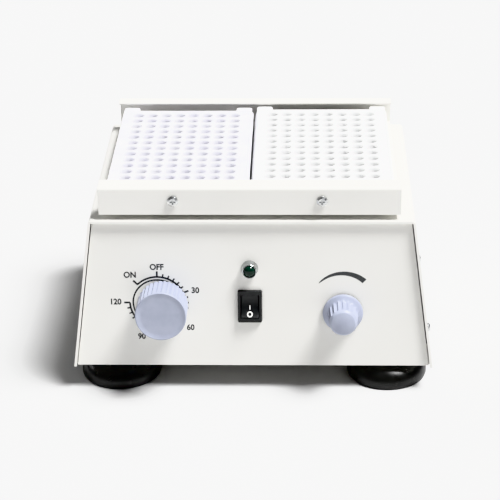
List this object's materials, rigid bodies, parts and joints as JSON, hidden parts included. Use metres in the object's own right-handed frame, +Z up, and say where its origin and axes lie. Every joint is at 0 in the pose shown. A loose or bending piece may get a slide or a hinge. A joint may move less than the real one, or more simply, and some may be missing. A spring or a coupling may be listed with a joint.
{
  "type": "micro shaker",
  "caption": "Bench-top orbital shaker: a tapered sheet-metal body with timer, rocker switch and speed knob, and a tray of microplates on top.",
  "frame": {"origin": "on the bench under the middle of the whole object's box", "axes": "+Z up, the control panel faces -Y, +X to the operator's right"},
  "size_m": [0.2234, 0.186, 0.1324],
  "materials": {
    "white_paint": "semi-gloss warm white powder coat on sheet steel",
    "clear_polystyrene": "pale translucent moulded polystyrene",
    "foot_rubber": "glossy black moulded rubber",
    "knob_plastic": "satin grey-blue moulded plastic",
    "black_plastic": "black moulded plastic",
    "zinc_steel": "bright zinc-plated steel",
    "turned_steel": "machined steel",
    "bronze": "plain sintered bronze",
    "brass_contacts": "bright brass",
    "cast_aluminium": "machined aluminium",
    "laminated_iron": "stacked iron laminations",
    "copper_winding": "enamelled copper under amber tape",
    "timer_case": "grey moulded case",
    "lamp_chrome": "bright plated bezel",
    "green_lens": "dark green moulded lens",
    "circuit_board": "green solder resist",
    "capacitor_sleeve": "dark blue shrink sleeve"
  },
  "bodies": {
    "base": {"cover": "white_paint", "base_pan": "white_paint", "front_panel": "white_paint", "rear_panel": "white_paint", "panel_nuts": "zinc_steel", "cover_screws": "zinc_steel", "foot_front_left": "foot_rubber", "foot_front_right": "foot_rubber", "foot_back_left": "foot_rubber", "foot_back_right": "foot_rubber", "foot_bolts": "zinc_steel", "motor_deck": "zinc_steel", "deck_pillars": "zinc_steel", "pillar_screws": "zinc_steel", "motor_can": "zinc_steel", "motor_stator": "laminated_iron", "motor_screws": "zinc_steel", "deck_bushes": "bronze", "timer_body": "timer_case", "timer_screws": "zinc_steel", "speed_pot": "black_plastic", "pot_nut": "zinc_steel", "switch_body": "black_plastic", "switch_terminals": "brass_contacts", "lamp_bezel": "lamp_chrome", "lamp_lens": "green_lens", "power_inlet": "black_plastic", "inlet_pins": "brass_contacts", "inlet_screws": "zinc_steel", "board_standoffs": "zinc_steel", "control_board": "circuit_board", "board_screws": "zinc_steel", "capacitor": "capacitor_sleeve", "transformer_core": "laminated_iron", "transformer_coil": "copper_winding", "core_screws": "zinc_steel"},
    "drive_crank": {"motor_rotor": "turned_steel", "eccentric": "turned_steel", "counterweight": "turned_steel"},
    "platform": {"drive_bearing": "turned_steel", "carriage": "cast_aluminium", "carriage_bushes": "bronze", "tray_posts": "cast_aluminium", "post_screws": "zinc_steel", "tray": "white_paint", "tray_screws": "zinc_steel", "front_rail": "white_paint", "rail_screws": "zinc_steel", "rail_nuts": "zinc_steel"},
    "idler_1": {"idler_crank_1": "turned_steel"},
    "idler_2": {"idler_crank_2": "turned_steel"},
    "idler_3": {"idler_crank_3": "turned_steel"},
    "idler_4": {"idler_crank_4": "turned_steel"},
    "timer_control": {"timer_knob": "knob_plastic", "timer_shaft": "turned_steel"},
    "speed_control": {"speed_knob": "knob_plastic", "pot_shaft": "turned_steel"},
    "switch_rocker": {"rocker": "black_plastic"},
    "left_plate": {"microplate_left": "clear_polystyrene"},
    "right_plate": {"microplate_right": "clear_polystyrene"}
  },
  "joints": [
    {"name": "crank_turn", "type": "hinge", "parent": "base", "child": "drive_crank", "pos_m": [0, 0.00802, 0.08], "axis": [0, 0, 1], "continuous": true},
    {"name": "platform_swivel", "type": "hinge", "parent": "drive_crank", "child": "platform", "pos_m": [-0.00106, 0.00696, 0.094], "axis": [0, 0, 1], "continuous": true},
    {"name": "idler_1_turn", "type": "hinge", "parent": "base", "child": "idler_1", "pos_m": [-0.052, -0.01998, 0.076], "axis": [0, 0, 1], "continuous": true},
    {"name": "idler_2_turn", "type": "hinge", "parent": "base", "child": "idler_2", "pos_m": [0.052, -0.01998, 0.076], "axis": [0, 0, 1], "continuous": true},
    {"name": "idler_3_turn", "type": "hinge", "parent": "base", "child": "idler_3", "pos_m": [-0.052, 0.03602, 0.076], "axis": [0, 0, 1], "continuous": true},
    {"name": "idler_4_turn", "type": "hinge", "parent": "base", "child": "idler_4", "pos_m": [0.052, 0.03602, 0.076], "axis": [0, 0, 1], "continuous": true},
    {"name": "timer_turn", "type": "hinge", "parent": "base", "child": "timer_control", "pos_m": [-0.0544, -0.08019, 0.05839], "axis": [0, 0.996, -0.0898], "range_deg": [-45, 270]},
    {"name": "speed_turn", "type": "hinge", "parent": "base", "child": "speed_control", "pos_m": [0.0552, -0.07972, 0.05242], "axis": [0, 0.996, -0.0898], "range_deg": [0, 300]},
    {"name": "rocker_tilt", "type": "hinge", "parent": "base", "child": "switch_rocker", "pos_m": [-0.0014, -0.07089, 0.05575], "axis": [1, 0, 0], "range_deg": [0, 30]},
    {"name": "left_plate_slide", "type": "slide", "parent": "platform", "child": "left_plate", "axis": [-1, 0, 0], "range_m": [0, 0.095]},
    {"name": "right_plate_slide", "type": "slide", "parent": "platform", "child": "right_plate", "axis": [1, 0, 0], "range_m": [0, 0.095]}
  ],
  "couplings": [
    {"joint": "crank_turn", "follows": "platform_swivel", "ratio": -1},
    {"joint": "idler_1_turn", "follows": "platform_swivel", "ratio": -1},
    {"joint": "idler_2_turn", "follows": "platform_swivel", "ratio": -1},
    {"joint": "idler_3_turn", "follows": "platform_swivel", "ratio": -1},
    {"joint": "idler_4_turn", "follows": "platform_swivel", "ratio": -1}
  ]
}
